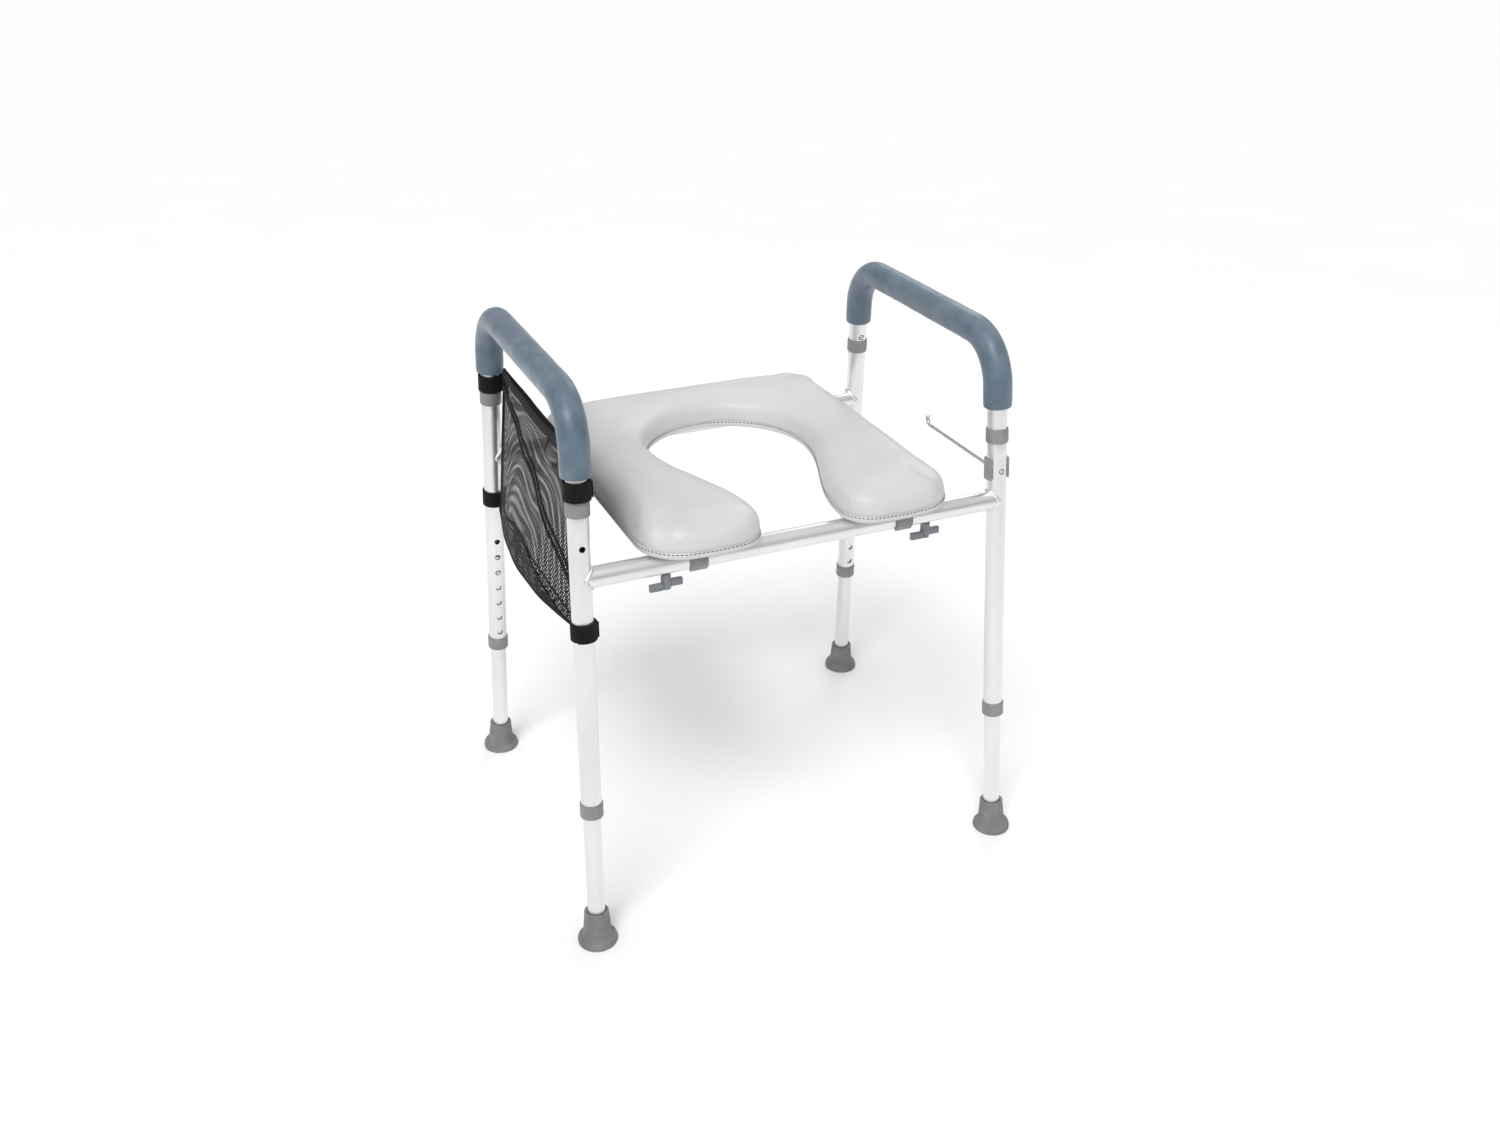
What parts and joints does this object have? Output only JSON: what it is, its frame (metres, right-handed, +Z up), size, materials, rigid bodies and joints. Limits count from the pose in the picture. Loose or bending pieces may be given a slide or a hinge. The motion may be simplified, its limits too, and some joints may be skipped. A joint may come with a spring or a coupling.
{
  "type": "toilet safety frame",
  "caption": "Free-standing frame that straddles a toilet: padded keyhole seat, foam-covered arms, telescoping legs, side bag and paper holder.",
  "frame": {"origin": "on the floor, at the middle of the rectangle of the four feet", "axes": "+Z up; -Y towards the seat's open front; -X is the left, the side of the bag, for someone who faces the front"},
  "size_m": [0.6376, 0.523, 0.7221],
  "materials": {
    "frame_tube": "satin anodised",
    "hardware_steel": "bright zinc plated",
    "grip_foam": "closed-cell foam, matte blue-grey",
    "collar_plastic": "moulded, mid grey",
    "fixing_plastic": "moulded, blue-grey",
    "foot_rubber": "moulded, mid grey",
    "seat_vinyl": "coated vinyl, fine grain, pale grey",
    "seat_board": "plywood",
    "bag_mesh": "open knitted mesh, black",
    "strap_fabric": "hook-and-loop tape, black"
  },
  "bodies": {
    "frame": {"front_left_post": "frame_tube", "front_left_leg_collar": "collar_plastic", "front_left_arm_collar": "collar_plastic", "front_left_upper_strap": "strap_fabric", "front_left_lower_strap": "strap_fabric", "rear_left_post": "frame_tube", "rear_left_leg_collar": "collar_plastic", "rear_left_arm_collar": "collar_plastic", "rear_left_upper_strap": "strap_fabric", "rear_left_lower_strap": "strap_fabric", "left_arm_tube": "frame_tube", "left_foam_grip": "grip_foam", "storage_bag": "bag_mesh", "front_right_post": "frame_tube", "front_right_leg_collar": "collar_plastic", "front_right_arm_collar": "collar_plastic", "paper_holder_clip": "fixing_plastic", "paper_holder_rod": "hardware_steel", "rear_right_post": "frame_tube", "rear_right_leg_collar": "collar_plastic", "rear_right_arm_collar": "collar_plastic", "right_arm_tube": "frame_tube", "right_foam_grip": "grip_foam", "front_crossbar": "frame_tube", "rear_crossbar": "frame_tube", "seat_cushion": "seat_vinyl", "seat_base_board": "seat_board", "front_left_hook": "fixing_plastic", "front_left_hook_screw": "hardware_steel", "front_right_hook": "fixing_plastic", "front_right_hook_screw": "hardware_steel", "rear_left_hook": "fixing_plastic", "rear_left_hook_screw": "hardware_steel", "rear_right_hook": "fixing_plastic", "rear_right_hook_screw": "hardware_steel", "front_left_stud": "hardware_steel", "front_right_stud": "hardware_steel", "rear_left_stud": "hardware_steel", "rear_right_stud": "hardware_steel"},
    "front_left_leg": {"front_left_leg_tube": "frame_tube", "front_left_foot": "foot_rubber"},
    "front_left_leg_catch": {"front_left_leg_button": "hardware_steel"},
    "front_left_arm_catch": {"front_left_arm_button": "hardware_steel"},
    "front_left_nut": {"front_left_wing_nut": "fixing_plastic"},
    "front_right_leg": {"front_right_leg_tube": "frame_tube", "front_right_foot": "foot_rubber"},
    "front_right_leg_catch": {"front_right_leg_button": "hardware_steel"},
    "front_right_arm_catch": {"front_right_arm_button": "hardware_steel"},
    "front_right_nut": {"front_right_wing_nut": "fixing_plastic"},
    "rear_left_leg": {"rear_left_leg_tube": "frame_tube", "rear_left_foot": "foot_rubber"},
    "rear_left_leg_catch": {"rear_left_leg_button": "hardware_steel"},
    "rear_left_arm_catch": {"rear_left_arm_button": "hardware_steel"},
    "rear_left_nut": {"rear_left_wing_nut": "fixing_plastic"},
    "rear_right_leg": {"rear_right_leg_tube": "frame_tube", "rear_right_foot": "foot_rubber"},
    "rear_right_leg_catch": {"rear_right_leg_button": "hardware_steel"},
    "rear_right_arm_catch": {"rear_right_arm_button": "hardware_steel"},
    "rear_right_nut": {"rear_right_wing_nut": "fixing_plastic"}
  },
  "joints": [
    {"name": "front_left_leg_slide", "type": "slide", "parent": "frame", "child": "front_left_leg", "axis": [0.0307, 0.079, 0.9964], "range_m": [-0.1016, 0.0508]},
    {"name": "front_left_leg_button_press", "type": "hinge", "parent": "front_left_leg", "child": "front_left_leg_catch", "pos_m": [-0.28498, -0.20595, 0.27034], "axis": [0.9995, 0, -0.0308], "range_deg": [0, 6.4], "stiffness_Nm_per_rad": 7, "springref_deg": -2.86},
    {"name": "front_left_arm_button_press", "type": "hinge", "parent": "frame", "child": "front_left_arm_catch", "pos_m": [-0.27626, -0.18349, 0.55352], "axis": [0.9995, 0, -0.0308], "range_deg": [0, 6.4], "stiffness_Nm_per_rad": 7, "springref_deg": -2.86},
    {"name": "front_left_wing_nut_turn", "type": "hinge", "parent": "frame", "child": "front_left_nut", "pos_m": [-0.1746, -0.1965, 0.474], "axis": [0, 0, 1], "continuous": true},
    {"name": "front_right_leg_slide", "type": "slide", "parent": "frame", "child": "front_right_leg", "axis": [-0.0307, 0.079, 0.9964], "range_m": [-0.1016, 0.0508]},
    {"name": "front_right_leg_button_press", "type": "hinge", "parent": "front_right_leg", "child": "front_right_leg_catch", "pos_m": [0.28498, -0.20595, 0.27034], "axis": [0.9995, 0, 0.0308], "range_deg": [0, 6.4], "stiffness_Nm_per_rad": 7, "springref_deg": -2.86},
    {"name": "front_right_arm_button_press", "type": "hinge", "parent": "frame", "child": "front_right_arm_catch", "pos_m": [0.27626, -0.18349, 0.55352], "axis": [0.9995, 0, 0.0308], "range_deg": [0, 6.4], "stiffness_Nm_per_rad": 7, "springref_deg": -2.86},
    {"name": "front_right_wing_nut_turn", "type": "hinge", "parent": "frame", "child": "front_right_nut", "pos_m": [0.1746, -0.1965, 0.474], "axis": [0, 0, 1], "continuous": true},
    {"name": "rear_left_leg_slide", "type": "slide", "parent": "frame", "child": "rear_left_leg", "axis": [0.0307, -0.079, 0.9964], "range_m": [-0.1016, 0.0508]},
    {"name": "rear_left_leg_button_press", "type": "hinge", "parent": "rear_left_leg", "child": "rear_left_leg_catch", "pos_m": [-0.28498, 0.20595, 0.27034], "axis": [-0.9995, 0, 0.0308], "range_deg": [0, 6.4], "stiffness_Nm_per_rad": 7, "springref_deg": -2.86},
    {"name": "rear_left_arm_button_press", "type": "hinge", "parent": "frame", "child": "rear_left_arm_catch", "pos_m": [-0.27626, 0.18349, 0.55352], "axis": [-0.9995, 0, 0.0308], "range_deg": [0, 6.4], "stiffness_Nm_per_rad": 7, "springref_deg": -2.86},
    {"name": "rear_left_wing_nut_turn", "type": "hinge", "parent": "frame", "child": "rear_left_nut", "pos_m": [-0.1746, 0.1965, 0.474], "axis": [0, 0, 1], "continuous": true},
    {"name": "rear_right_leg_slide", "type": "slide", "parent": "frame", "child": "rear_right_leg", "axis": [-0.0307, -0.079, 0.9964], "range_m": [-0.1016, 0.0508]},
    {"name": "rear_right_leg_button_press", "type": "hinge", "parent": "rear_right_leg", "child": "rear_right_leg_catch", "pos_m": [0.28498, 0.20595, 0.27034], "axis": [-0.9995, 0, -0.0308], "range_deg": [0, 6.4], "stiffness_Nm_per_rad": 7, "springref_deg": -2.86},
    {"name": "rear_right_arm_button_press", "type": "hinge", "parent": "frame", "child": "rear_right_arm_catch", "pos_m": [0.27626, 0.18349, 0.55352], "axis": [-0.9995, 0, -0.0308], "range_deg": [0, 6.4], "stiffness_Nm_per_rad": 7, "springref_deg": -2.86},
    {"name": "rear_right_wing_nut_turn", "type": "hinge", "parent": "frame", "child": "rear_right_nut", "pos_m": [0.1746, 0.1965, 0.474], "axis": [0, 0, 1], "continuous": true}
  ]
}
